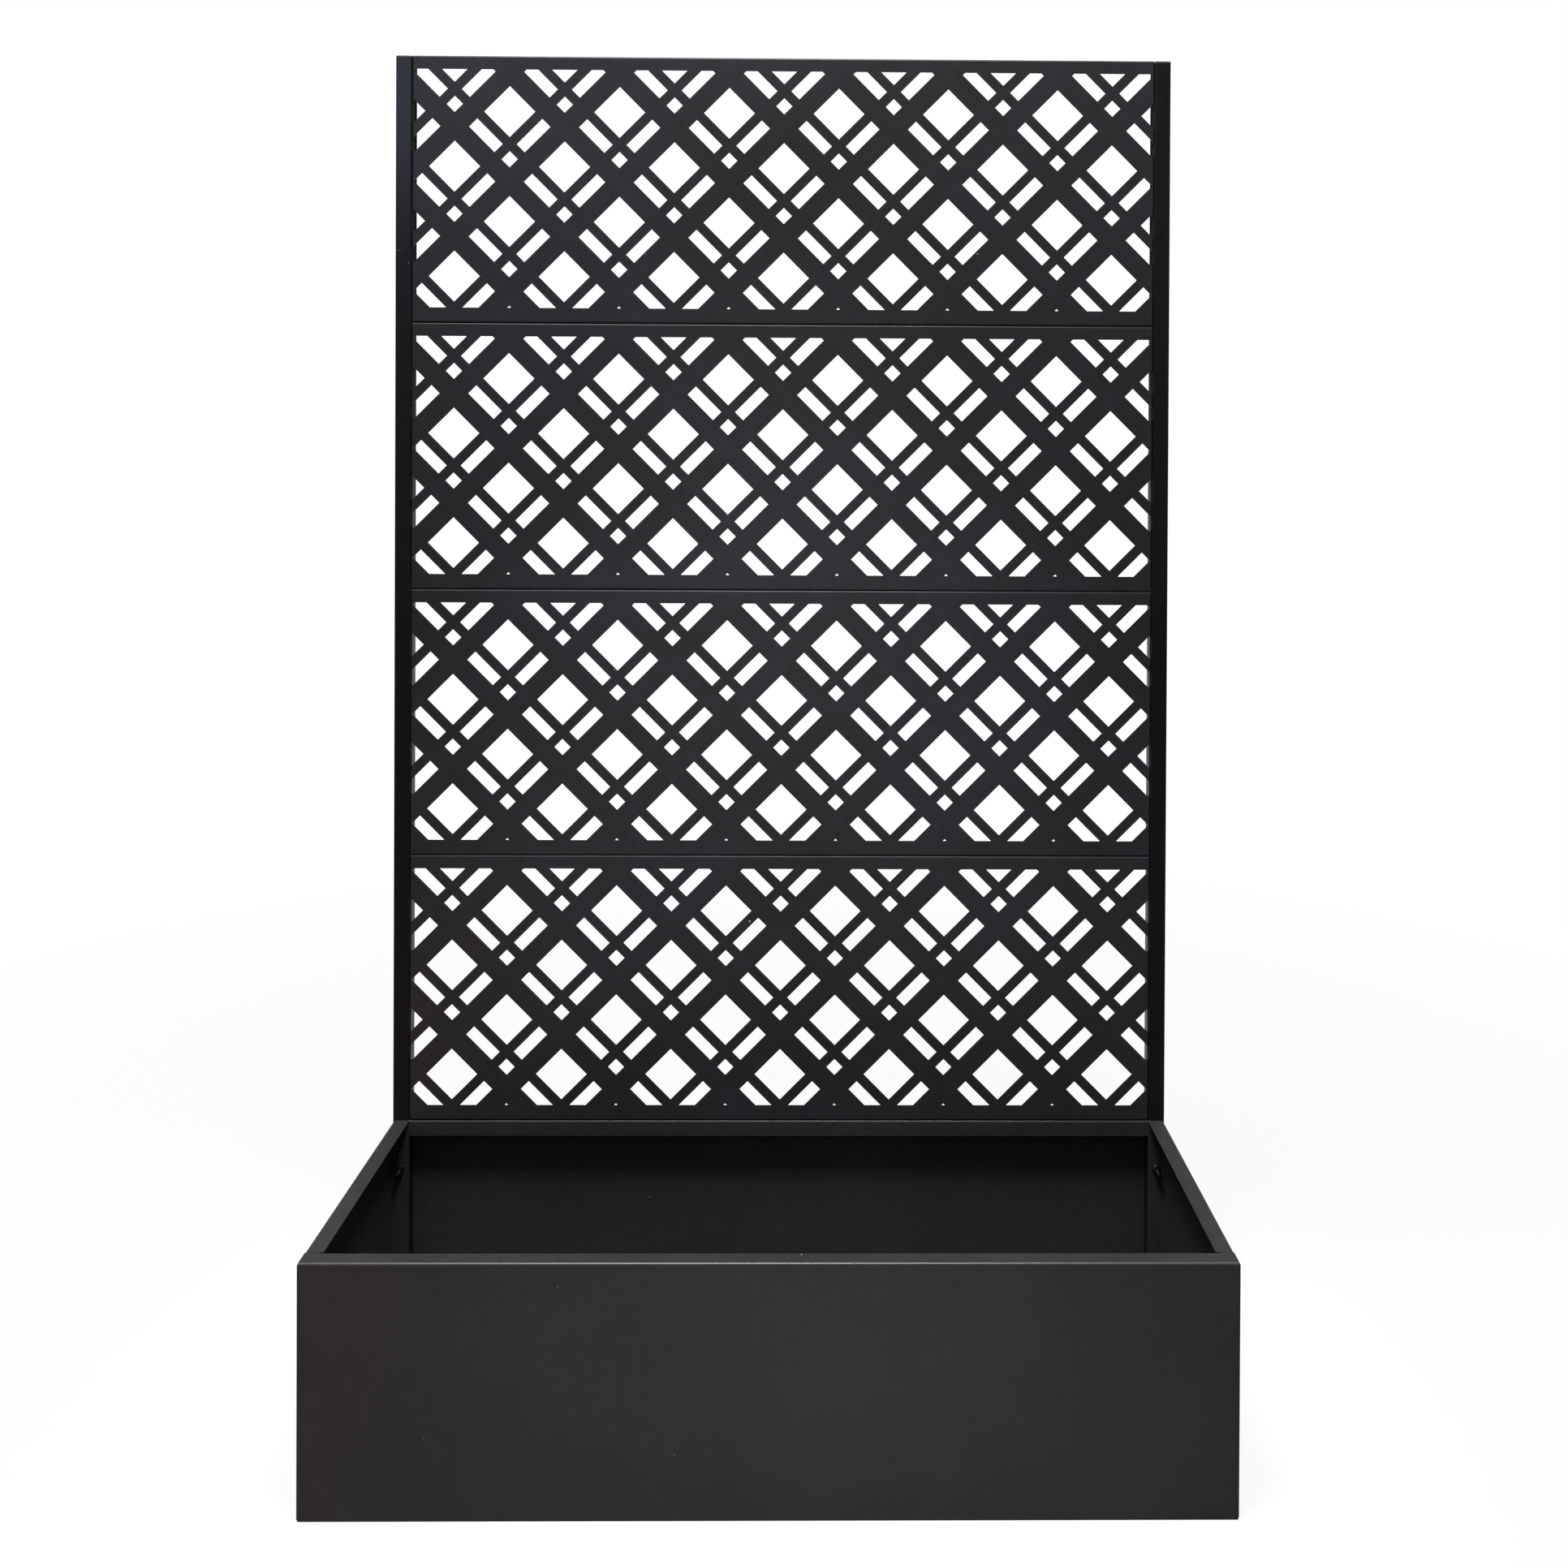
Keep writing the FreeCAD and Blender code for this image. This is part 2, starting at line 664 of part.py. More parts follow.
def area_of(corners):
    """The area of a flat outline."""
    pairs = zip(corners, corners[1:] + corners[:1])
    return abs(sum(a[0] * b[1] - b[0] * a[1] for a, b in pairs)) / 2


def rounded_face(corners, radius):
    """A flat face in the XZ plane with its corners rounded as far as its edges allow."""
    points = [FreeCAD.Vector(x, 0, z) for x, z in corners]
    lengths = [(b - a).Length for a, b in zip(points, points[1:] + points[:1])]
    edges, previous_end, first_start = [], None, None
    for number, corner in enumerate(points):
        back = (points[number - 1] - corner).normalize()
        ahead = (points[(number + 1) % len(points)] - corner).normalize()
        half_angle = back.getAngle(ahead) / 2
        room = 0.45 * min(lengths[number - 1], lengths[number])
        cut = min(radius / math.tan(half_angle), room)
        bulge = cut * math.tan(half_angle)
        bisector = (back + ahead).normalize()
        centre = corner + bisector * (cut / math.cos(half_angle))
        start, end = corner + back * cut, corner + ahead * cut
        middle = centre - bisector * bulge
        if previous_end is not None:
            edges.append(Part.LineSegment(previous_end, start).toShape())
        else:
            first_start = start
        edges.append(Part.Arc(start, middle, end).toShape())
        previous_end = end
    edges.append(Part.LineSegment(previous_end, first_start).toShape())
    return Part.Face(Part.Wire(edges))


def lattice_openings():
    """Every opening of one panel: two sets of parallel straps cross at right angles, turned
    by 45 degrees, and what lies between them is open. Above and below, a plain border stays.
    At the sides the openings run out through the fold."""
    half = (panel_width / 2 + s.overcut).value
    low, high = s.window_low.value, (panel_height - s.window_top).value
    centre_z = (panel_height - s.lattice_drop).value
    reach = half + panel_height.value
    slope = math.sqrt(0.5)
    prisms = []
    for near_u, far_u in open_bands(reach):
        for near_v, far_v in open_bands(reach):
            square = ((near_u, near_v), (far_u, near_v), (far_u, far_v), (near_u, far_v))
            corners = [(slope * (u - v), centre_z - slope * (u + v)) for u, v in square]
            for axis, limit, keep_above in (
                (0, -half, True),
                (0, half, False),
                (1, low, True),
                (1, high, False),
            ):
                corners = clipped(corners, axis, limit, keep_above)
            corners = without_short_edges(corners, s.seam_gap.value)
            if len(corners) < 3 or area_of(corners) < s.smallest_opening.value:
                continue
            face = rounded_face(corners, s.opening_round.value)
            face.translate(FreeCAD.Vector(0, -s.overcut.value, 0))
            through = (s.relief + s.overcut).value
            prisms.append(face.extrude(FreeCAD.Vector(0, through, 0)))
    openings = doc.addObject("Part::Feature", "lattice_openings")
    openings.Shape = Part.makeCompound(prisms)
    return openings


def trellis_panels():
    """The stacked panels, all cut alike. The lowest stands on the back wall's rim."""
    lattice = doc.addObject("Part::Cut", "trellis_lattice")
    lattice.Base = trellis_tray()
    lattice.Tool = lattice_openings()
    for number in range(int(s.panel_count.value)):
        height = s.wall_height + panel_height * number
        panel = new_body(f"trellis_panel_{number + 1}", y=trellis_y, z=height)
        panel.BaseFeature = lattice
        pieces.append(panel)
    return lattice


# ---------------------------------------------------------------- bolts, studs and nuts


def turned(body, name, corners):
    """A solid turned about the body's X axis from half of its profile."""
    profile = new_sketch(body, f"{name}_profile", "XY_Plane")
    outline(profile, corners)
    solid = body.newObject("PartDesign::Revolution", f"{name}_turned")
    solid.Profile = profile
    solid.ReferenceAxis = (origin_feature(body, "X_Axis"), [""])
    solid.Angle = 360
    doc.recompute()
    return solid


def rows_of(body, name, last, rows):
    """Repeats the fastener in its rows and keeps it among the pieces."""
    for number, (axis, count, pitch, backwards) in enumerate(rows):
        last = repeat(body, last, axis, count, pitch, backwards, f"{name}_row_{number}")
    pieces.append(body)


def bolts(name, x, y, z, turn, length, rows):
    """Equal bolts. Each points along its body's +X, with its head's flat at x = 0."""
    body = new_body(name, x, y, z, turn)
    corners = (
        (-s.head_height, 0),
        (-s.head_height, s.head_radius),
        (0, s.head_radius),
        (0, s.bolt_radius),
        (length - s.bolt_tip, s.bolt_radius),
        (length, s.bolt_radius - s.bolt_tip),
        (length, 0),
    )
    solid = turned(body, name, corners)
    rim = [edge for edge_length, edge in edges_at(solid, x=-s.head_height)]
    round_edges(body, solid, rim, s.head_round, f"{name}_head_rim")
    key = new_sketch(body, f"{name}_key", "YZ_Plane", -s.head_height)
    hexagon(key, s.key_flats)
    last = pocket(body, key, s.key_depth, backwards=True)
    rows_of(body, name, last, rows)


def studs(name, x, y, z, turn, rows):
    """Equal weld studs. Each points along its body's +X and is welded on at x = 0."""
    body = new_body(name, x, y, z, turn)
    corners = (
        (0, 0),
        (0, s.bolt_radius),
        (s.weld_stud - s.bolt_tip, s.bolt_radius),
        (s.weld_stud, s.bolt_radius - s.bolt_tip),
        (s.weld_stud, 0),
    )
    rows_of(body, name, turned(body, name, corners), rows)


def nuts(name, x, y, z, turn, rows):
    """Equal flange nuts. Each lies on x = 0 with its hexagon towards its body's +X."""
    body = new_body(name, x, y, z, turn)
    skirt = new_sketch(body, f"{name}_skirt", "YZ_Plane")
    circle(skirt, 0, 0, s.nut_skirt_radius)
    pad(body, skirt, s.nut_skirt)
    flats = new_sketch(body, f"{name}_flats", "YZ_Plane")
    hexagon(flats, s.nut_flats)
    pad(body, flats, s.nut_height)
    bore = new_sketch(body, f"{name}_bore", "YZ_Plane")
    circle(bore, 0, 0, s.bolt_radius + s.thread_gap)
    rows_of(body, name, pocket(body, bore), rows)


def fasteners(side):
    """Every fastener on one side. A trellis bolt points outwards, from inside the panel into a
    nut that is welded inside the post. The corner bolts point forwards, the rest inwards."""
    name = SIDE_NAMES[side]
    inwards, outwards = (0, 180) if side == LEFT else (180, 0)
    two = as_size(2)
    wall_row = (("Z_Axis", two, s.wall_height - s.bolt_margin * 2, False),)
    floor_row = (("Y_Axis", two, s.floor_bolt_pitch, side == RIGHT),)
    trellis_rows = (
        ("Z_Axis", s.bolts_per_panel, s.bolt_pitch, False),
        ("Z_Axis", s.panel_count, panel_height, False),
    )
    half = s.box_width / 2

    x, low = (panel_width / 2 - s.sheet) * side, trellis_bolt_heights()[0]
    bolts(f"{name}_trellis_bolts", x, post_y, low, outwards, s.short_bolt, trellis_rows)
    x = (half - s.post_width + s.post_wall) * side
    nuts(f"{name}_trellis_nuts", x, post_y, low, outwards, trellis_rows)

    x, low = post_x * side, s.bolt_margin
    bolts(f"{name}_corner_bolts", x, back_y, low, -90, s.corner_bolt, wall_row)
    nuts(f"{name}_corner_nuts", x, trellis_y - s.sheet, low, -90, wall_row)

    outer, inner = (half - s.sheet) * side, (half - s.sheet * 2) * side
    along = front_y + s.rim_width / 2
    studs(f"{name}_front_studs", outer, along, low, inwards, wall_row)
    nuts(f"{name}_front_nuts", inner, along, low, inwards, wall_row)

    along, low = front_y + s.box_depth / 2 - s.floor_bolt_pitch / 2, floor_bolt_z
    inner = (half - s.sheet * 3) * side
    bolts(f"{name}_floor_bolts", outer, along, low, inwards, s.short_bolt, floor_row)
    nuts(f"{name}_floor_nuts", inner, along, low, inwards, floor_row)


# ---------------------------------------------------------------- putting it together

front_panel()
back_panel()
floor_panel()
for side in (LEFT, RIGHT):
    side_panel(side)
    for word in ("lower", "upper"):
        post_half(side, word)
    post_spigot(side)
    post_cap(side)
    fasteners(side)
lattice = trellis_panels()
doc.recompute()

for item in doc.Objects:
    if "Invalid" in item.State or "Error" in item.State:
        raise ValueError(f"{item.Name} is {item.State}")
for piece in pieces:
    if piece.Shape.isNull():
        raise ValueError(f"{piece.Label} has no shape")
# The trellis panels are the same solid in four places, so it is tested once.
for piece in [lattice] + [piece for piece in pieces if piece.BaseFeature is not lattice]:
    if not piece.Shape.isValid():
        raise ValueError(f"{piece.Label} is not valid")

os.makedirs("parts", exist_ok=True)
for piece in pieces:
    piece.Shape.exportStep(f"parts/{piece.Label}.step")
    print(piece.Label, len(piece.Shape.Solids), round(piece.Shape.Volume))
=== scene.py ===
import bpy
import math
from mathutils import Matrix, Vector


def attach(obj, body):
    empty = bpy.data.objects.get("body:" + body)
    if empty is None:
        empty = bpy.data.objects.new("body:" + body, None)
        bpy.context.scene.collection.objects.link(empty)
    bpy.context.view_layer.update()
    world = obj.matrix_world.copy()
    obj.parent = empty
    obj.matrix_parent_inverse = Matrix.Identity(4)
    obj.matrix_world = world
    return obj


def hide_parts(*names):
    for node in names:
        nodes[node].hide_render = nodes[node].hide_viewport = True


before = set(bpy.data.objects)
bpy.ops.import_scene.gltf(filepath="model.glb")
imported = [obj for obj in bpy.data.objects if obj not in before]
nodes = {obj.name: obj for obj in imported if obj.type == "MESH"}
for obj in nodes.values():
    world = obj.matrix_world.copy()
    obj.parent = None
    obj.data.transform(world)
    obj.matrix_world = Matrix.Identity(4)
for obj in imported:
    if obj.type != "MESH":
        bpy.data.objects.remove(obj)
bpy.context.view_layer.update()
bpy.ops.object.select_all(action="DESELECT")


# ---------------------------------------------------------------- the trough's sheets
# Front, back and side walls and the floor: 1.5 mm steel sheet, folded and bolted together,
# all in one black satin powder coat. The coat has a fine orange peel, a slightly uneven
# tone, settled dust, and a few light scratches from handling.


class Value:
    """A shader socket that takes part in plain arithmetic."""

    def __init__(self, shader, socket):
        self.shader, self.socket = shader, socket

    def maths(self, operation, *others):
        return self.shader.node("ShaderNodeMath", {"operation": operation}, self, *others)

    def __add__(self, other):
        return self.maths("ADD", other)

    def __sub__(self, other):
        return self.maths("SUBTRACT", other)

    def __rsub__(self, other):
        return self.shader.node("ShaderNodeMath", {"operation": "SUBTRACT"}, other, self)

    def __mul__(self, other):
        return self.maths("MULTIPLY", other)

    __radd__, __rmul__ = __add__, __mul__

    def over(self, low, high):
        """0 up to low, 1 from high on, and a smooth step between."""
        settings = {"interpolation_type": "SMOOTHSTEP"}
        return self.shader.node("ShaderNodeMapRange", settings, self, low, high, 0.0, 1.0)

    def under(self, low, high):
        """1 up to low, 0 from high on, and a smooth step between."""
        return 1 - self.over(low, high)


class Shader:
    """The nodes of a material or world while they are made. surface is the shader it comes
    with, and spot the place on the object in metres, or a world's direction."""

    def __init__(self, owner, surface="Principled BSDF", coordinates="Object"):
        owner.use_nodes = True
        self.owner, self.tree = owner, owner.node_tree
        self.surface = self.tree.nodes[surface]
        self.spot = self.node("ShaderNodeTexCoord", out=coordinates)

    def node(self, kind, settings=None, *inputs, out=0, **named):
        """A node of any kind. Its settings come first, then its inputs, by order or by name."""
        made = self.tree.nodes.new(kind)
        for name, value in (settings or {}).items():
            setattr(made, name, value)
        for key, value in [*enumerate(inputs), *named.items()]:
            self.feed(made.inputs[key], value)
        return Value(self, made.outputs[out])

    def feed(self, socket, value):
        """Links a value to a socket or writes a plain number there. None leaves it alone."""
        if isinstance(value, Value):
            self.tree.links.new(value.socket, socket)
        elif value is not None:
            socket.default_value = value

    def set(self, **sockets):
        """Values or links for the surface's own sockets, _ for each space."""
        for name, value in sockets.items():
            self.feed(self.surface.inputs[name.replace("_", " ")], value)

    def axis(self, letter):
        """The X, Y or Z of the spot."""
        return self.node("ShaderNodeSeparateXYZ", None, self.spot, out=letter)

    def distance(self, place):
        """How far the spot is from a place, in metres."""
        settings = {"operation": "DISTANCE"}
        return self.node("ShaderNodeVectorMath", settings, self.spot, place, out="Value")

    def stretched(self, along, shift=(0, 0, 0)):
        """The spot with its pattern drawn out along the axes."""
        scale = [1 / reach for reach in along]
        return self.node("ShaderNodeMapping", None, self.spot, Location=shift, Scale=scale)

    def noise(self, size, detail=2.0, roughness=0.5, spot=None):
        """Cloudy noise about 0.5, with features of that size."""
        inputs = {"Vector": spot or self.spot, "Scale": 1 / size}
        return self.node("ShaderNodeTexNoise", None, Detail=detail, Roughness=roughness, **inputs)

    def cells(self, size):
        """Distance to the nearest of scattered points, in shares of their spacing."""
        inputs = {"Vector": self.spot, "Scale": 1 / size}
        return self.node("ShaderNodeTexVoronoi", None, **inputs)

    def mix(self, share, first, second):
        """A colour between two colours, each three numbers or a link."""
        ends = [end if isinstance(end, Value) else (*end, 1) for end in (first, second)]
        other_kinds = [None] * 5
        settings = {"data_type": "RGBA"}
        return self.node("ShaderNodeMix", settings, share, *other_kinds, *ends, out=2)

    def bump(self, height, depth, under=None):
        """A relief that is depth metres deep where height goes from 0 to 1."""
        return self.node("ShaderNodeBump", None, Height=height, Distance=depth, Normal=under)


def powder_coat(name, tints, rough=0.38, gloss=0.5, specks=0.035, streak=None):
    """Black satin powder coat. It varies between its two tints, rough and gloss are its
    finish, specks is the spacing of dust, and streak draws the grain out."""
    coat = Shader(bpy.data.materials.new(name))
    cloud = coat.noise(0.35, detail=3.0, roughness=0.55)
    mottle = coat.noise(0.018, detail=4.0, roughness=0.6)
    grain_spot = coat.stretched(streak) if streak else None
    grain = coat.noise(0.0022, detail=2.0, roughness=0.6, spot=grain_spot)
    tone = (cloud * 0.45 + mottle * 0.25 + grain * 0.3).over(0.36, 0.64)

    # Dust specks of uneven size, and scratches that run long and thin only in some places.
    speck_size = coat.noise(0.03, detail=1.0).over(0.25, 0.9) * 0.018
    speck = (coat.cells(specks) - speck_size).under(0.0, 0.012)
    scratch_spot = coat.stretched((0.12, 0.12, 0.004), shift=(0.2, 0.3, 0.7))
    scratch = coat.noise(1.0, detail=2.0, roughness=0.5, spot=scratch_spot).over(0.74, 0.78)
    scratch = scratch * coat.noise(0.09, detail=1.0).over(0.6, 0.7)
    worn_grey, dust_grey = (0.06, 0.06, 0.058), (0.36, 0.35, 0.33)
    worn = coat.mix(scratch * 0.35, coat.mix(tone, *tints), worn_grey)

    uneven = (cloud - 0.5) * 0.14 + (mottle - 0.5) * 0.10
    orange_peel = coat.bump(coat.noise(0.0018, detail=2.0), 0.00005)
    coat.set(
        Base_Color=coat.mix(speck * 0.8, worn, dust_grey),
        Roughness=rough + uneven + speck * 0.3 + scratch * 0.15,
        Specular_IOR_Level=gloss,
        Normal=coat.bump(coat.noise(0.16, detail=1.0, roughness=0.3), 0.0006, orange_peel),
    )
    return coat.owner


def finish_with(material, *names):
    """Gives carried-over CAD nodes their finish."""
    for name in names:
        nodes[name].data.materials.clear()
        nodes[name].data.materials.append(material)


SHEET_TINTS = ((0.0098, 0.0100, 0.0100), (0.0138, 0.0140, 0.0141))
SHEET_COAT = powder_coat("black_powder_coat", SHEET_TINTS)
finish_with(SHEET_COAT, "front_panel", "back_panel", "floor_panel")
finish_with(SHEET_COAT, "left_side_panel", "right_side_panel")


# ---------------------------------------------------------------- the posts
# Square 25 mm steel tube, two halves one above the other at each rear corner, in the same
# powder coat, with its tints darkened as painted shade. The drawn tube shows a little
# through the coat as upright streaks.

SIDES = (("left", -1), ("right", 1))
# Painted shade: these tints are about three times darker than the trough's, though the coat is the
# same.
SHADED_TUBE_TINTS = ((0.0030, 0.0031, 0.0032), (0.0043, 0.0044, 0.0046))
POST_COAT = powder_coat(
    "black_powder_coat_on_tube", SHADED_TUBE_TINTS, rough=0.26, gloss=0.17, specks=0.06, streak=(1, 1, 12)
)
for side, _ in SIDES:
    finish_with(POST_COAT, f"{side}_post_lower", f"{side}_post_upper")


# ---------------------------------------------------------------- the trellis panels
# Four trays of the same sheet, laser-cut to a diagonal lattice and coated afterwards. The
# coat is a little duller on them than on the trough, with a faint purple and green bloom.

BLOOM_TINTS = ((0.0095, 0.0104, 0.0096), (0.0136, 0.0129, 0.0162))
PANEL_COAT = powder_coat("black_powder_coat_on_lattice", BLOOM_TINTS, gloss=0.13, specks=0.08)
finish_with(PANEL_COAT, *(f"trellis_panel_{number}" for number in (1, 2, 3, 4)))


# ---------------------------------------------------------------- the post spigots
# Bare zinc-plated tube, hidden inside the posts, where it joins their halves. It is only
# rubbed bright along its length by the tube that slides over it.

zinc = Shader(bpy.data.materials.new("zinc_plated_tube"))
rubbed = zinc.noise(0.002, detail=3.0, roughness=0.6, spot=zinc.stretched((1, 1, 20)))
zinc.set(
    Base_Color=zinc.mix(rubbed, (0.36, 0.37, 0.39), (0.62, 0.63, 0.65)),
    Metallic=1.0,
    Roughness=0.28 + rubbed * 0.2,
    Normal=zinc.bump(rubbed, 0.00002),
)
finish_with(zinc.owner, "left_post_spigot", "right_post_spigot")


# ---------------------------------------------------------------- the post caps
# Moulded black plastic plugs that close the posts. Their heads are lightly spark-eroded,
# and a touch greyer than the coat.

plastic = Shader(bpy.data.materials.new("black_moulded_plastic"))
eroded = plastic.noise(0.0007, detail=2.0, roughness=0.6)
flow = plastic.noise(0.01)
plastic.set(
    Base_Color=plastic.mix(flow, (0.012, 0.012, 0.013), (0.022, 0.022, 0.023)),
    Roughness=0.46 + eroded * 0.16,
    Specular_IOR_Level=0.4,
    Normal=plastic.bump(eroded, 0.00004),
)
finish_with(plastic.owner, "left_post_cap", "right_post_cap")


# ---------------------------------------------------------------- the bolts
# M6 socket-head bolts of black-zinced steel with a low domed head and a 4 mm hexagon
# socket. Each has a plain neck and a rolled thread at its end.

HEAD_RADIUS, HEAD_HEIGHT, HEAD_ROUND = 0.006, 0.0015, 0.00093
SHANK_RADIUS, THREAD_DEPTH, THREAD_PITCH = 0.003, 0.00045, 0.001
FLANK, FLAT = 0.32, 0.18  # shares of the pitch on a thread's slopes and on its crest and root
TIP = 0.9  # the end of a thread, as a share of its root
KEY_FLATS, KEY_DEPTH = 0.004, 0.0022

black_zinc = Shader(bpy.data.materials.new("black_zinc"))
film = black_zinc.noise(0.0016, detail=3.0, roughness=0.6)
stain = black_zinc.noise(0.006).over(0.35, 0.7)
black_zinc.set(
    Base_Color=black_zinc.mix(stain, (0.035, 0.035, 0.04), (0.085, 0.085, 0.093)),
    Metallic=1.0,
    Roughness=0.30 + film * 0.22,
    Normal=black_zinc.bump(film, 0.00001),
)


def apply_place(piece):
    """Moves the piece's place into its mesh."""
    bpy.ops.object.select_all(action="DESELECT")
    piece.select_set(True)
    bpy.context.view_layer.objects.active = piece
    bpy.ops.object.transform_apply(location=True, rotation=True, scale=True)


def add_round(low, high, radius, end_radius=None, sides=36):
    """A cylinder along +X between two places, or a cone where its end's radius is given."""
    common = {
        "vertices": sides,
        "depth": high - low,
        "location": ((low + high) / 2, 0, 0),
        "rotation": (0, math.radians(90), 0),
    }
    if end_radius is None:
        bpy.ops.mesh.primitive_cylinder_add(radius=radius, **common)
    else:
        bpy.ops.mesh.primitive_cone_add(radius1=radius, radius2=end_radius, **common)
    made = bpy.context.object
    apply_place(made)
    return made


def combine(piece, other, operation):
    """Joins, crosses or cuts the piece with another solid, which is used up."""
    step = piece.modifiers.new("step", "BOOLEAN")
    step.operation, step.solver, step.object = operation, "EXACT", other
    bpy.ops.object.select_all(action="DESELECT")
    bpy.context.view_layer.objects.active = piece
    bpy.ops.object.modifier_apply(modifier=step.name)
    bpy.data.objects.remove(other)


def start_editing(piece, mode):
    """Enters edit mode in edge or face mode and leaves it with nothing selected."""
    bpy.ops.object.select_all(action="DESELECT")
    bpy.context.view_layer.objects.active = piece
    piece.select_set(True)
    bpy.ops.object.mode_set(mode="EDIT")
    bpy.ops.mesh.select_mode(type=mode)
    bpy.ops.mesh.select_all(action="DESELECT")
    bpy.ops.object.mode_set(mode="OBJECT")


def edit_faces(piece, wanted):
    """Enters edit mode with the faces selected whose middle and normal the test wants."""
    start_editing(piece, "FACE")
    for face in piece.data.polygons:
        face.select = wanted(face.center, face.normal)
    bpy.ops.object.mode_set(mode="EDIT")


def edit_edges(piece, wanted):
    """Enters edit mode with the edges selected whose ends both pass the test."""
    start_editing(piece, "EDGE")
    for edge in piece.data.edges:
        edge.select = all(wanted(piece.data.vertices[end].co) for end in edge.vertices)
    bpy.ops.object.mode_set(mode="EDIT")


def leave_editing():
    bpy.ops.object.mode_set(mode="OBJECT")


def faces_along(middle, normal):
    """The test for the faces that look along +X."""
    return normal.x > 0.9


def draw_out(reach, ratio=1):
    """Draws the selected end out along +X, and makes it narrower or wider by the ratio."""
    bpy.ops.mesh.extrude_region_move(TRANSFORM_OT_translate={"value": (reach, 0, 0)})
    if ratio != 1:
        bpy.ops.transform.resize(value=(1, ratio, ratio))


def roll_thread(length):
    """Draws the selected round end out along +X into a thread with a narrow tip."""
    narrow = 1 - THREAD_DEPTH / SHANK_RADIUS
    for _ in range(round(length / THREAD_PITCH)):
        draw_out(THREAD_PITCH * FLANK, narrow)
        draw_out(THREAD_PITCH * FLAT)
        draw_out(THREAD_PITCH * FLANK, 1 / narrow)
        draw_out(THREAD_PITCH * FLAT)
    bpy.ops.transform.resize(value=(1, narrow * TIP, narrow * TIP))
    leave_editing()


def turned_bolt(length, threaded):
    """A bolt along +X with its head's flat at the origin and a thread on its last part."""
    bolt = add_round(-HEAD_HEIGHT, 0, HEAD_RADIUS)
    edit_faces(bolt, faces_along)
    bpy.ops.mesh.inset(thickness=HEAD_RADIUS - SHANK_RADIUS)
    draw_out(length - threaded)
    roll_thread(threaded)
    edit_edges(bolt, lambda end: end.x < -HEAD_HEIGHT * 0.9)
    bpy.ops.mesh.bevel(offset=HEAD_ROUND, segments=5, profile=0.5)
    leave_editing()
    key_reach = KEY_FLATS / math.sqrt(3)
    key = add_round(-HEAD_HEIGHT - KEY_DEPTH, -HEAD_HEIGHT + KEY_DEPTH, key_reach, sides=6)
    combine(bolt, key, "DIFFERENCE")
    return bolt


def boxes_along(node, axis, gap=0.02):
    """The boxes of a node's separate solids, which stand in a row along that axis."""
    spots = sorted((vertex.co for vertex in nodes[node].data.vertices), key=lambda co: co[axis])
    groups = [[spots[0]]]
    for before, spot in zip(spots, spots[1:]):
        if spot[axis] - before[axis] > gap:
            groups.append([])
        groups[-1].append(spot)
    return [
        [Vector(end(spot[i] for spot in group) for i in range(3)) for end in (min, max)]
        for group in groups
    ]


def fit_all(model, node, axis, towards, start):
    """Copies the model to each solid of the node, start metres from where the solid begins
    when seen towards its point, and lets the joined copies stand for the node."""
    towards = Vector(towards)
    turn = Vector((1, 0, 0)).rotation_difference(towards).to_matrix().to_4x4()
    if towards.x < 0:
        turn = Matrix.Rotation(math.pi, 4, "Z")
    made = []
    for low, high in boxes_along(node, axis):
        half = abs((high - low).dot(towards)) / 2
        place = (low + high) / 2 + towards * (start - half)
        copy = bpy.data.objects.new(node + "_detailed", model.data.copy())
        bpy.context.scene.collection.objects.link(copy)
        copy.matrix_world = Matrix.Translation(place) @ turn
        made.append(copy)
    bpy.ops.object.select_all(action="DESELECT")
    for copy in made:
        copy.select_set(True)
    bpy.context.view_layer.objects.active = made[0]
    if len(made) > 1:
        bpy.ops.object.join()
    piece = bpy.context.object
    piece.name = node + "_detailed"
    apply_place(piece)
    bpy.ops.object.shade_smooth_by_angle(angle=math.radians(40))
    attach(piece, "root")
    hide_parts(node)


Y_AXIS, Z_AXIS = 1, 2  # the way a row of fixings runs


def direction(kind, sign):
    """Where a fixing points: outwards in the trellis, forwards at a corner, else inwards."""
    return {"trellis": (sign, 0, 0), "corner": (0, -1, 0)}.get(kind, (-sign, 0, 0))


for kind, row, length, threaded in (
    ("trellis", Z_AXIS, 0.016, 0.014),
    ("corner", Z_AXIS, 0.050, 0.024),
    ("floor", Y_AXIS, 0.016, 0.014),
):
    model = turned_bolt(length, threaded)
    model.data.materials.append(black_zinc.owner)
    for side, sign in SIDES:
        fit_all(model, f"{side}_{kind}_bolts", row, direction(kind, sign), HEAD_HEIGHT)
    bpy.data.objects.remove(model)


# ---------------------------------------------------------------- the weld studs
# M6 studs of the same black-zinced steel, welded inside the front wall's returns. They have
# a short plain root and point inwards through the side walls.

STUD_LENGTH, STUD_ROOT = 0.010, 0.002

stud = add_round(0, STUD_ROOT, SHANK_RADIUS)
edit_faces(stud, faces_along)
roll_thread(STUD_LENGTH - STUD_ROOT)
stud.data.materials.append(black_zinc.owner)
for side, sign in SIDES:
    fit_all(stud, f"{side}_front_studs", Z_AXIS, direction("front", sign), 0)
bpy.data.objects.remove(stud)


# ---------------------------------------------------------------- the nuts
# M6 hexagon nuts with a pressed flange, in the same black zinc. Their corners are turned
# off towards the face. Those of the trellis are welded inside the posts.

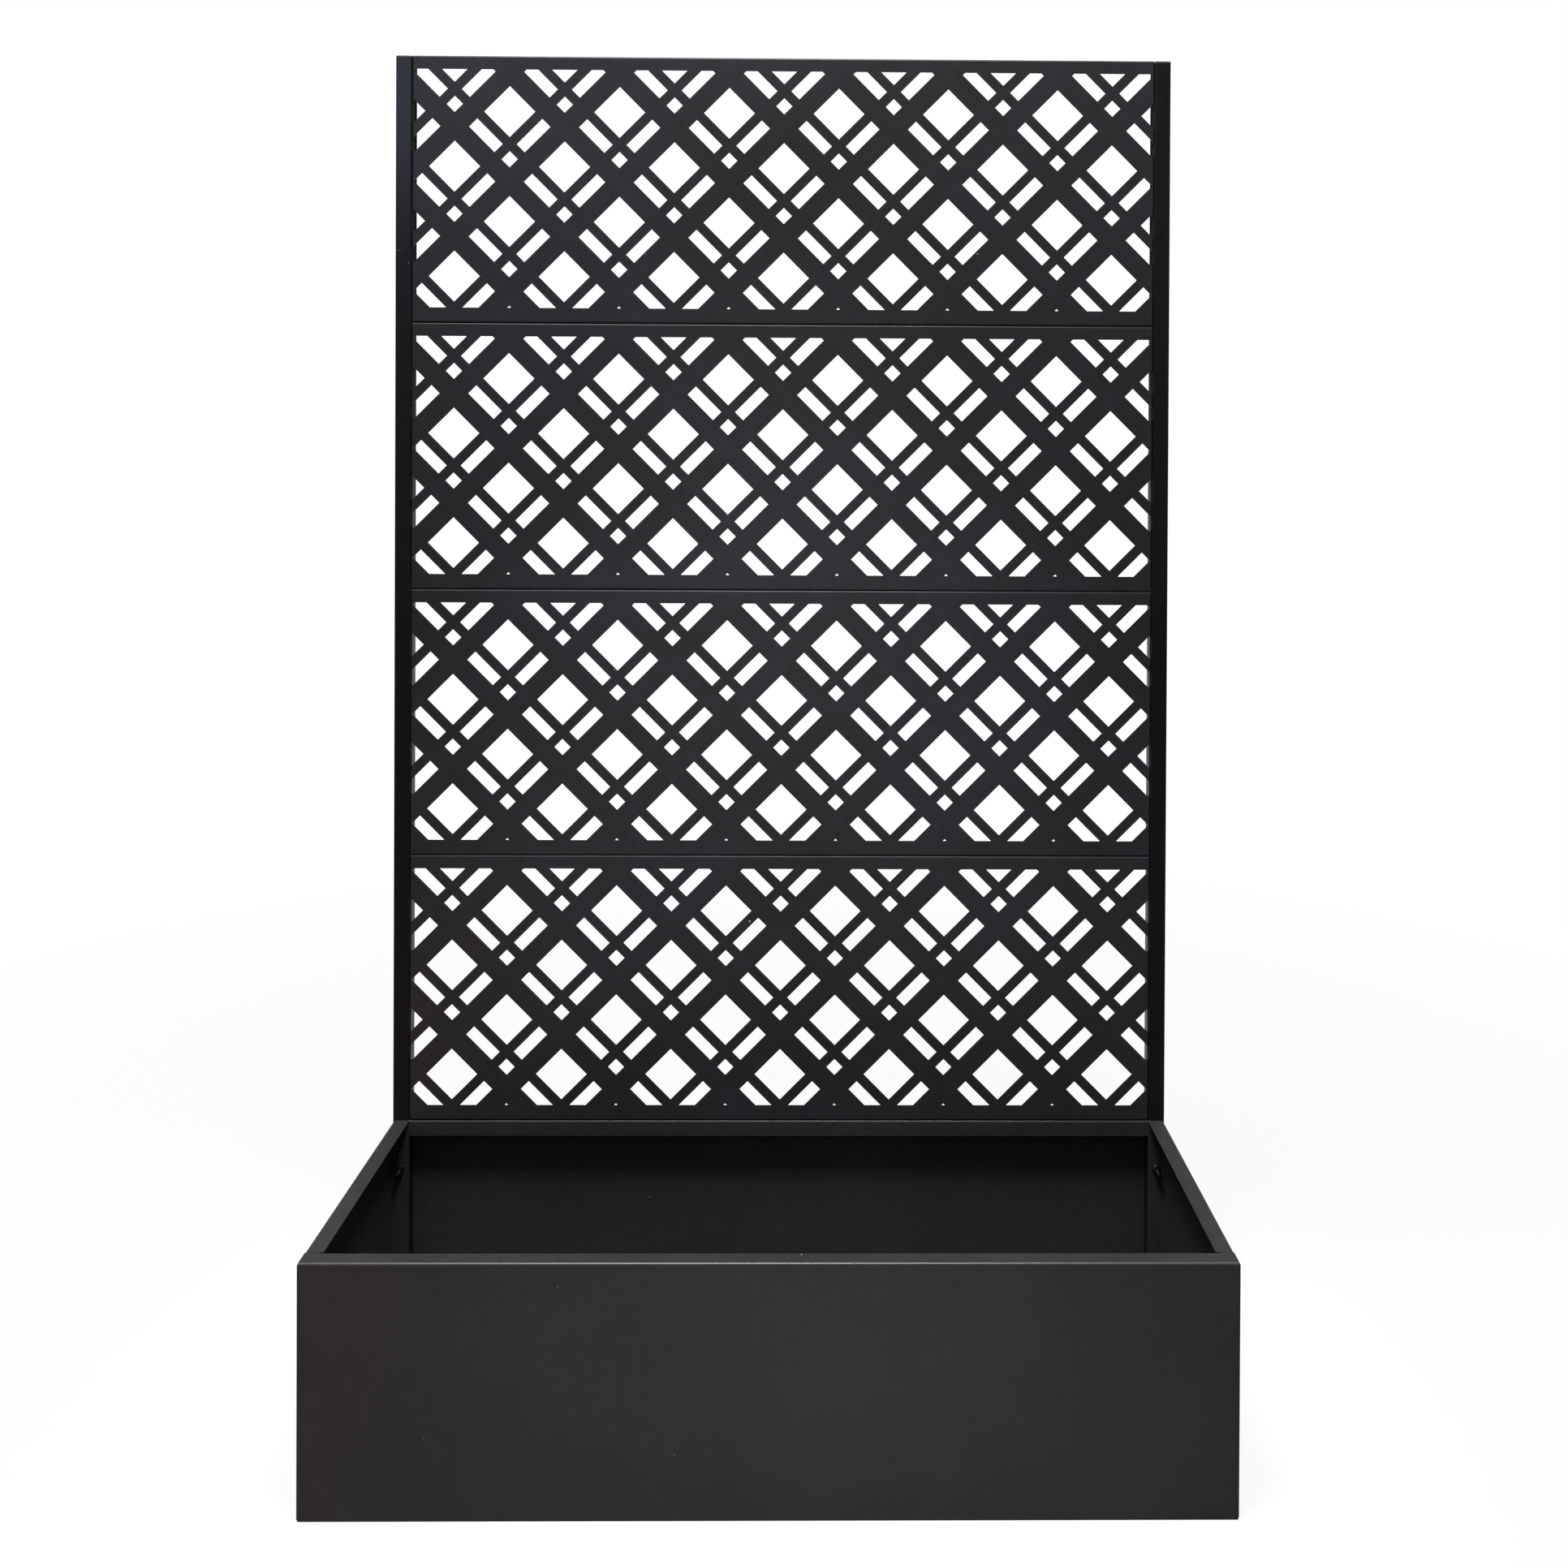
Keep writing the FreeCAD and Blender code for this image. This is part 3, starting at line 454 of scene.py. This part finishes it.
NUT_HEIGHT, NUT_REACH = 0.006, 0.010 / math.sqrt(3)  # 10 mm across its flats
TURNED_RADIUS, TURNED_EDGE = NUT_REACH * 0.995, NUT_REACH * 0.11
FLANGE_RADIUS, FLANGE_HEIGHT, FLANGE_EDGE = 0.007, 0.0012, 0.0003
SLOPE_HEIGHT, SLOPE_RATIO = 0.0008, 0.76  # the flange's slope up to the hexagon
BORE_RADIUS = 0.0031
LEAD_IN_DEPTH, LEAD_IN_LOW, LEAD_IN_HIGH = 0.0005, 0.0027, 0.0038
OVERLAP = 0.0002  # the hexagon starts this far inside the flange
OVERCUT = 0.001  # how far a cutter stands out past the nut

nut = add_round(OVERLAP, NUT_HEIGHT, NUT_REACH, sides=6)
turning = add_round(-OVERCUT, NUT_HEIGHT, TURNED_RADIUS, sides=48)
edit_edges(turning, lambda end: end.x > NUT_HEIGHT * 0.99)
bpy.ops.mesh.bevel(offset=TURNED_EDGE, segments=3, profile=0.5)
leave_editing()
combine(nut, turning, "INTERSECT")

flange = add_round(0, FLANGE_HEIGHT, FLANGE_RADIUS, sides=48)
edit_faces(flange, faces_along)
draw_out(SLOPE_HEIGHT, SLOPE_RATIO)
leave_editing()
edit_edges(flange, lambda end: abs(end.x - FLANGE_HEIGHT) < 0.0001)
bpy.ops.mesh.bevel(offset=FLANGE_EDGE, segments=3, profile=0.5)
leave_editing()
combine(nut, flange, "UNION")

bore = add_round(-OVERCUT, NUT_HEIGHT + OVERCUT, BORE_RADIUS)
combine(nut, bore, "DIFFERENCE")
lead_in_low, lead_in_high = NUT_HEIGHT - LEAD_IN_DEPTH, NUT_HEIGHT + LEAD_IN_DEPTH
lead_in = add_round(lead_in_low, lead_in_high, LEAD_IN_LOW, LEAD_IN_HIGH)
combine(nut, lead_in, "DIFFERENCE")

nut.data.materials.clear()
nut.data.materials.append(black_zinc.owner)
for kind in ("trellis", "corner", "front", "floor"):
    row = Y_AXIS if kind == "floor" else Z_AXIS
    for side, sign in SIDES:
        fit_all(nut, f"{side}_{kind}_nuts", row, direction(kind, sign), 0)
bpy.data.objects.remove(nut)


# ---------------------------------------------------------------- the studio
# A paper sweep under and behind the planter, in a plain white world. The camera sees both
# white, with the planter's shadow left on the paper.

SWEEP_SIZE, SWEEP_MIDDLE, SWEEP_HEIGHT, SWEEP_BEND = 24, 3, 14, 4

bpy.ops.object.select_all(action="DESELECT")
bpy.ops.mesh.primitive_plane_add(size=SWEEP_SIZE, location=(0, SWEEP_MIDDLE, 0))
sweep = bpy.context.object
sweep.name = "studio_sweep"
edit_edges(sweep, lambda end: end.y > 1)
bpy.ops.mesh.extrude_region_move(TRANSFORM_OT_translate={"value": (0, 0, SWEEP_HEIGHT)})
leave_editing()
edit_edges(sweep, lambda end: end.y > 1 and end.z < 0.1)
bpy.ops.mesh.bevel(offset=SWEEP_BEND, segments=16, profile=0.5)
leave_editing()
apply_place(sweep)
bpy.ops.object.shade_smooth()


def rays(shader, kind):
    """1 for the rays of that kind, 0 for all others."""
    return shader.node("ShaderNodeLightPath", out=f"Is {kind} Ray")


def show_instead(shader, share, other):
    """Puts another shader in front of the surface's own, by that share."""
    own = shader.surface.outputs[0]
    end = own.links[0].to_socket
    shown = shader.node("ShaderNodeMixShader", None, share, Value(shader, own), other)
    shader.tree.links.new(shown.socket, end)


PLAIN_WHITE = (1.0, 1.0, 1.0)
SHADOW_SHARE = 0.08  # how much of the paper's own light the camera sees near the planter
# A painted pool of light, with painted darkness around it, that only reflections see.
PAINTED_POOL_PLACE, PAINTED_POOL_LIT, PAINTED_POOL_DARK = (0.05, -0.9, 0.0), (0.42, 0.42, 0.42), (0.01, 0.01, 0.01)

paper = Shader(bpy.data.materials.new("white_paper_sweep"))
fibre = paper.noise(0.004)
paper.set(
    Base_Color=paper.mix(fibre, (0.46, 0.46, 0.46), (0.50, 0.50, 0.50)),
    Roughness=0.9,
    Specular_IOR_Level=0.1,
)
far_off = paper.distance((0, 0, 0)).over(1.6, 3.2)

# Under the trough, where only the drain holes show it, the paper stays as dark as its shadow.
past_ends = paper.axis("X").maths("ABSOLUTE").over(0.57, 0.59)
past_walls = paper.axis("Y").maths("ABSOLUTE").over(0.17, 0.19)
not_under = past_ends.maths("MAXIMUM", past_walls)
mirrored = rays(paper, "Glossy")
direct = (rays(paper, "Camera") + rays(paper, "Transmission") + mirrored).maths("MINIMUM", 1.0)
share = direct * (far_off * SHADOW_SHARE + (1 - SHADOW_SHARE)) * not_under

# In reflections the paper is white behind the planter up to a person's height, and in front
# it shows a painted pool of light that fades to painted darkness, which gives the front wall its
# sheen.
painted_pool = paper.mix(paper.distance(PAINTED_POOL_PLACE).under(0.1, 0.9), PAINTED_POOL_DARK, PAINTED_POOL_LIT)
behind = paper.axis("Y").over(0.1, 0.6) * paper.axis("Z").under(0.5, 2.5)
mirror_image = paper.mix(behind, painted_pool, PLAIN_WHITE)
seen_as = paper.mix(mirrored, PLAIN_WHITE, mirror_image)
show_instead(paper, share, paper.node("ShaderNodeEmission", None, seen_as, 1.0))
sweep.data.materials.append(paper.owner)

world = bpy.data.worlds.new("studio")
bpy.context.scene.world = world
sky = Shader(world, surface="Background", coordinates="Generated")
sky.set(Color=(0.93, 0.95, 1.0, 1), Strength=0.28)
white = sky.node("ShaderNodeBackground", None, (1, 1, 1, 1), 1.0)
mirrored_behind = rays(sky, "Glossy") * sky.axis("Y").over(-0.25, 0.35)
seen = rays(sky, "Camera").maths("MAXIMUM", rays(sky, "Transmission"))
show_instead(sky, seen.maths("MAXIMUM", mirrored_behind), white)


# ---------------------------------------------------------------- the lamps
# A broad soft lamp overhead, a weak cool one high on the left, an even fill from the front, a
# small warm one low on the left, and a spot that shines into the trough. The last three give
# light but no reflection.


def aim(lamp, target):
    """Turns the lamp towards its target."""
    way = Vector(target) - lamp.location
    lamp.rotation_euler = way.to_track_quat("-Z", "Y").to_euler()


def soft_lamp(name, place, target, size, watts, colour=(1, 1, 1)):
    """A rectangular lamp that faces its target."""
    bpy.ops.object.light_add(type="AREA", location=place)
    lamp = bpy.context.object
    lamp.name = name
    lamp.data.shape = "RECTANGLE"
    lamp.data.size, lamp.data.size_y = size
    lamp.data.energy, lamp.data.color = watts, colour
    aim(lamp, target)
    return lamp


COOL, WARM = (0.58, 0.64, 1.0), (1.0, 0.3, 0.35)

soft_lamp("overhead_softbox", (-0.3, -0.85, 4.4), (-0.1, -0.1, 0.4), (2.0, 0.9), 310)
soft_lamp("cool_window", (-1.6, -3.0, 3.0), (-0.4, 0.2, 1.7), (1.0, 1.0), 14, COOL)
front = soft_lamp("front_fill", (0.2, -3.0, 2.6), (0, 0, 0.6), (2.6, 1.8), 24)
bounce = soft_lamp("warm_bounce", (-1.1, -0.9, 0.15), (-0.6, -0.2, 0.15), (0.3, 0.3), 4.5, WARM)

bpy.ops.object.light_add(type="SPOT", location=(0, -0.6, 2.6))
inside = bpy.context.object
inside.name = "trough_spot"
aim(inside, (0, -0.02, 0.15))
inside.data.spot_size, inside.data.spot_blend = math.radians(42), 0.5
inside.data.energy, inside.data.shadow_soft_size = 360, 0.2

for lamp in (front, bounce, inside):
    lamp.visible_glossy = False


# ---------------------------------------------------------------- the camera
# Level, as high as a standing person's chest, close in front of the planter. Its lens is
# shifted down, which keeps the posts upright.

TILT, ROLL, TURN = -0.341, -0.279, -0.523  # degrees from level, upright and straight ahead
LENS_SHARE = 0.8327  # focal length as a share of the picture's width

camera_data = bpy.data.cameras.new("photo_camera")
camera = bpy.data.objects.new("photo_camera", camera_data)
bpy.context.scene.collection.objects.link(camera)
camera.location = (0.0599, -1.8535, 1.3172)
camera.rotation_euler = [math.radians(turn) for turn in (90 + TILT, ROLL, TURN)]
camera_data.sensor_width = 36
camera_data.lens = camera_data.sensor_width * LENS_SHARE
camera_data.shift_x = -0.0313
camera_data.shift_y = -0.1849
camera_data.clip_end = 60
bpy.context.scene.camera = camera
bpy.context.scene.view_settings.view_transform = "Standard"
